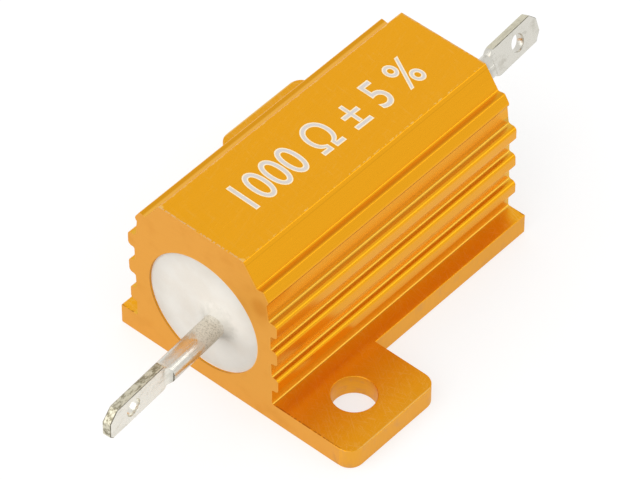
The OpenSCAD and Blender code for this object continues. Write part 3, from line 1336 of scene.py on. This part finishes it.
@dataclass
class Terminal:
    """A lead that leaves the cement round and ends in a pressed and pierced solder tag."""

    name: str
    node: str
    end: End
    roll: float
    top_chamfer: float = 0.7
    low_chamfer: float = 0.7
    span: float = 53.0
    lead_radius: float = LEAD_RADIUS
    inner_end: float = CAP_END
    tag_len: float = 6.8
    tag_half: float = 1.25
    tag_thick: float = 0.74
    press_len: float = 0.6
    hole_radius: float = 0.75
    hole_inset: float = 2.7
    hole_rim: float = 0.1
    edge: float = 0.08
    hole_edge: float = 0.03
    press_edge: float = 0.035
    press_lift: float = 8.0
    press_steps: int = 12
    flare_steps: int = 8
    lead_sides: int = 72
    hole_sides: int = 64
    core: CoreLine = field(default_factory=CoreLine)

    def _press_start(self) -> float:
        """Place along the core's axis where the press begins to flatten the lead."""
        return self.span / 2 - self.tag_len

    def _die(self, side: int) -> bmesh.types.BMesh:
        """Makes the space that one half of the press takes from the round lead.

        Args:
            side: -1 or 1, the side of the lead that it presses on.

        Returns:
            A closed solid in the core's own frame.
        """
        drop = self.lead_radius - self.tag_thick / 2
        sweep = 2 * math.atan(drop / self.press_len)
        radius = self.press_len / math.sin(sweep)
        low, near, far = -self.tag_half * 2, self.tag_thick / 2, self.tag_thick * 4
        flat, end = self._press_start() + self.press_len, self._press_start() + self.press_len * 2
        corners = []
        for step in range(self.press_steps + 1):
            turn = (sweep + math.radians(self.press_lift)) * (1 - step / self.press_steps)
            across = near + radius * (1 - math.cos(turn))
            corners.append((side * across, flat - radius * math.sin(turn), low))
        corners += [(side * near, end, low), (side * far, end, low), (side * far, corners[0][1], low)]
        bm = Bench.outline(corners)
        Bench.pull(bm, Vector((0, 0, self.tag_half * 4)))
        return bm

    def _tag(self) -> bmesh.types.BMesh:
        """Makes the flat tag with its spread root, cut corners and pierced hole.

        Returns:
            A closed solid in the core's own frame.
        """
        start, end = self._press_start(), self.span / 2
        root = self.lead_radius - self.tag_thick / 2
        flare = []
        for step in range(self.flare_steps + 1):
            share = step / self.flare_steps
            half = root + (self.tag_half - root) * math.sin(math.pi / 2 * share)
            flare.append((start + self.press_len * share, half))
        side = flare + [(end, self.tag_half)]
        outline = side + [(y, -z) for y, z in reversed(side)]
        bm = Bench.outline([(-self.tag_thick / 2, y, z) for y, z in outline])
        tip, far = end - FINE, self.tag_half - FINE
        Bench.round_corners(bm, lambda p: p.y > tip and p.z > far, self.top_chamfer, 1)
        Bench.round_corners(bm, lambda p: p.y > tip and p.z < -far, self.low_chamfer, 1)
        Bench.pull(bm, Vector((self.tag_thick, 0, 0)))
        at, past = end - self.hole_inset, self.tag_thick * 2
        punch = Bench.rod(self.hole_radius, Vector((-past, at, 0)), Vector((past, at, 0)), self.hole_sides)
        bm = Bench.combine(bm, [punch], "DIFFERENCE")

        def at_hole(edge: bmesh.types.BMEdge) -> bool:
            """Tells whether an edge belongs to the pierced hole."""
            return all(math.hypot(v.co.y - at, v.co.z) < self.hole_radius + FINE for v in edge.verts)

        Bench.soften(bm, self.edge, 3, 40.0, lambda e: not at_hole(e))
        Bench.soften(bm, self.hole_edge, 2, 60.0, at_hole)
        return bm

    def _surface_of(self, face: bmesh.types.BMFace) -> LeadSurface:
        """Tells how a face was made, from where it lies in the core's own frame.

        Args:
            face: A face of the joined terminal.

        Returns:
            The kind of surface.
        """
        middle, normal = face.calc_center_median(), face.normal
        start = self._press_start()
        from_hole = math.hypot(middle.y - self.span / 2 + self.hole_inset, middle.z)
        if middle.y < start or from_hole < self.hole_radius + self.hole_rim:
            return LeadSurface.DRAWN
        if middle.y < start + self.press_len * 0.9:
            # the press step takes the dark edge colour as a painted shadow
            on_step = abs(normal.y) > 0.8 and abs(middle.x) > self.tag_thick
            return LeadSurface.EDGE if on_step else LeadSurface.DRAWN
        # the bevelled ridges between the sides and the flat faces take the dark edge colour
        if 0.3 < abs(normal.x) < 0.96:
            return LeadSurface.EDGE
        return LeadSurface.SHEARED if abs(normal.x) < 0.3 else LeadSurface.DRAWN

    def build(self) -> bpy.types.Object:
        """Models the terminal and dresses it.

        Returns:
            The finished terminal.
        """
        start, end = self.inner_end, self._press_start() + self.press_len
        bar = Bench.rod(self.lead_radius, Vector((0, start, 0)), Vector((0, end, 0)), self.lead_sides)
        bar = Bench.combine(bar, [self._die(-1), self._die(1)], "DIFFERENCE")
        Bench.soften(bar, self.press_edge, 2, 40.0, lambda e: all(v.co.y > start + 1 for v in e.verts))
        bm = Bench.combine(bar, [self._tag()], "UNION")
        for face in bm.faces:
            face.material_index = self._surface_of(face).value
        place = self.core.frame(self.end) @ Matrix.Rotation(math.radians(-self.roll), 4, "Y")
        bmesh.ops.transform(bm, matrix=place, verts=list(bm.verts))
        bmesh.ops.recalc_face_normals(bm, faces=list(bm.faces))
        finishes = (TinnedFinish(), ShearedTinFinish(), DARK_EDGE_AND_PAINTED_SHADOW)
        return Bench.publish(self.name, bm, [f.build() for f in finishes], self.node, Slot.LEAD)


@dataclass
class ValueMarking:
    """A plain resistance value printed along the crown, read from the front end."""

    text: str = "1000 Ω ± 5 %"
    height: float = 3.25
    length: float = 18.7
    middle_x: float = -0.14
    middle_y: float = 0.45
    skew: float = -1.3
    top_z: float = HEIGHT
    ink: Colour = linear(206, 199, 195)
    ink_thin: Colour = linear(210, 194, 170)
    rim_ink: Colour = linear(240, 226, 196)
    rim_thin: Colour = linear(232, 208, 156)
    film: float = 0.0064
    rim_film: float = 0.004
    sunk: float = 0.001
    bold: float = -0.012
    rim_bold: float = 0.013
    arc_steps: int = 6
    weld: float = 1e-5

    def build(self) -> None:
        """Prints the ink: a paler, wider layer that dried at the edges, then the marking itself."""
        rim = InkFinish("pale_ink_rim", self.rim_ink, self.rim_thin)
        self._layer("marking_rim", self.rim_bold, self.rim_film, rim)
        inside = InkFinish("grey_ink", self.ink, self.ink_thin)
        self._layer("value_marking", self.bold, self.film, inside)

    def _layer(self, name: str, bold: float, film: float, finish: InkFinish) -> bpy.types.Object:
        """Prints one layer of ink.

        Args:
            name: The piece's name.
            bold: How far the strokes are widened, in the font's own size.
            film: Thickness of the ink.
            finish: The ink.

        Returns:
            The layer.
        """
        curve = bpy.data.curves.new("marking", "FONT")
        curve.body = self.text
        curve.resolution_u = self.arc_steps
        curve.offset = bold
        holder = put("marking", curve)
        bpy.context.view_layer.update()
        graph = bpy.context.evaluated_depsgraph_get()
        mesh = bpy.data.meshes.new_from_object(holder.evaluated_get(graph), depsgraph=graph)
        bm = bmesh.new()
        bm.from_mesh(mesh)
        bpy.data.objects.remove(holder)
        bmesh.ops.remove_doubles(bm, verts=list(bm.verts), dist=self.weld)
        xs, ys = [v.co.x for v in bm.verts], [v.co.y for v in bm.verts]
        wide, tall = max(xs) - min(xs) - 2 * bold, max(ys) - min(ys) - 2 * bold
        centre = Vector(((max(xs) + min(xs)) / 2, (max(ys) + min(ys)) / 2, 0))
        fit = Matrix.Diagonal((self.length / wide, self.height / tall, 1, 1)) @ Matrix.Translation(-centre)
        place = Matrix.Translation((self.middle_x, self.middle_y, self.top_z - self.sunk))
        turn = Matrix.Rotation(math.radians(90 + self.skew), 4, "Z")
        bmesh.ops.transform(bm, matrix=place @ turn @ fit, verts=list(bm.verts))
        Bench.pull(bm, Vector((0, 0, film)))
        return Bench.publish(name, bm, [finish.build()], None, None)


@dataclass
class WoundCore:
    """The core, its winding and its caps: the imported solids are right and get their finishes."""

    finishes: dict[str, MottledFinish] = field(
        default_factory=lambda: {
            "ceramic_core": FIRED_CERAMIC,
            "resistance_winding": RESISTANCE_WIRE,
            "front_cap": CAP_STEEL,
            "rear_cap": CAP_STEEL,
        }
    )

    def build(self) -> None:
        """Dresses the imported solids."""
        made = {finish: finish.build() for finish in dict.fromkeys(self.finishes.values())}
        for name, finish in self.finishes.items():
            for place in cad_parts[name].material_slots:
                place.material = made[finish]
            LOG.info("%s: packed solid with %s", name, finish.name)


@dataclass(frozen=True)
class Lamp:
    """A soft square lamp that looks at the object: place and side in metres, power in watts."""

    name: str
    place: tuple[float, float, float]
    side: float
    power: float

    def hang(self) -> None:
        """Adds the lamp to the scene."""
        data = bpy.data.lights.new(self.name, "AREA")
        data.shape, data.size, data.energy = "SQUARE", self.side, self.power
        place = Vector(self.place)
        turn = (-place).to_track_quat("-Z", "Y").to_matrix().to_4x4()
        put(self.name, data).matrix_world = Matrix.Translation(place) @ turn


@dataclass
class Studio:
    """Pale floor, soft light from all round and the camera."""

    azimuth: float = 41.259
    elevation: float = 46.631
    roll: float = 0.0846
    across: float = -0.36385
    up: float = 2.72126
    away: float = 390.72249
    lens: float = 291.08
    sensor: float = 36.0
    sky: float = 0.93
    floor_half: float = 900.0
    floor_drop: float = 0.02
    lamps: tuple[Lamp, ...] = (
        Lamp("key", (-0.17, -0.63, 0.50), 1.1, 3.5),
        Lamp("edge light", (0.49, 0.361, 0.343), 0.2, 0.165),
    )

    def _axes(self) -> Matrix:
        """The camera's own axes as the columns of a matrix.

        Returns:
            Right, up and back, turned by the roll.
        """
        a, e = math.radians(self.azimuth), math.radians(self.elevation)
        right = Vector((math.cos(a), math.sin(a), 0))
        back = Vector((math.sin(a) * math.cos(e), -math.cos(a) * math.cos(e), math.sin(e)))
        flat = Matrix((right, back.cross(right), back)).transposed()
        return flat @ Matrix.Rotation(math.radians(self.roll), 3, "Z")

    def _camera(self) -> None:
        """Places the camera."""
        axes = self._axes()
        data = bpy.data.cameras.new("camera")
        data.lens, data.sensor_width = self.lens, self.sensor
        data.clip_start, data.clip_end = 0.01, 50.0
        camera = put("camera", data)
        place = axes @ Vector((self.across, self.up, self.away)) * MM
        camera.matrix_world = Matrix.Translation(place) @ axes.to_4x4()
        bpy.context.scene.camera = camera

    def _floor(self) -> None:
        """Lays the floor."""
        bm = bmesh.new()
        bmesh.ops.create_grid(bm, x_segments=1, y_segments=1, size=self.floor_half * MM)
        bmesh.ops.translate(bm, verts=list(bm.verts), vec=(0, 0, -self.floor_drop * MM))
        mesh = mesh_of("floor", bm)
        mesh.materials.append(FloorFinish().build())
        put("floor", mesh)

    def build(self) -> None:
        """Sets up the whole studio."""
        scene = bpy.context.scene
        scene.view_settings.view_transform = "Standard"
        world = bpy.data.worlds.new("tent")
        world.use_nodes = True
        tree = world.node_tree
        background = tree.nodes["Background"]
        background.inputs["Color"].default_value = WHITE
        path = tree.nodes.new("ShaderNodeLightPath")
        lift = tree.nodes.new("ShaderNodeMapRange")
        lift.inputs["To Min"].default_value = self.sky
        lift.inputs["To Max"].default_value = 1.0
        tree.links.new(path.outputs["Is Camera Ray"], lift.inputs["Value"])
        tree.links.new(lift.outputs["Result"], background.inputs["Strength"])
        scene.world = world
        self._floor()
        for lamp in self.lamps:
            lamp.hang()
        self._camera()
        LOG.info("studio: floor, tent, %d lamps and camera", len(self.lamps))


def write_sizes() -> None:
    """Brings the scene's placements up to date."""
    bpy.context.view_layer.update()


def main() -> None:
    """Builds every piece and the studio in order."""
    logging.basicConfig(level=logging.INFO, format="%(message)s", force=True)
    Housing().build()
    CementFilling().build()
    Terminal("front_solder_tag", "front_terminal", End.FRONT, 0.0, 0.9, 0.35).build()
    Terminal("rear_solder_tag", "rear_terminal", End.REAR, 20.0, tag_len=6.3, press_len=0.95).build()
    ValueMarking().build()
    WoundCore().build()
    Studio().build()
    write_sizes()


if __name__ == "__main__":
    main()
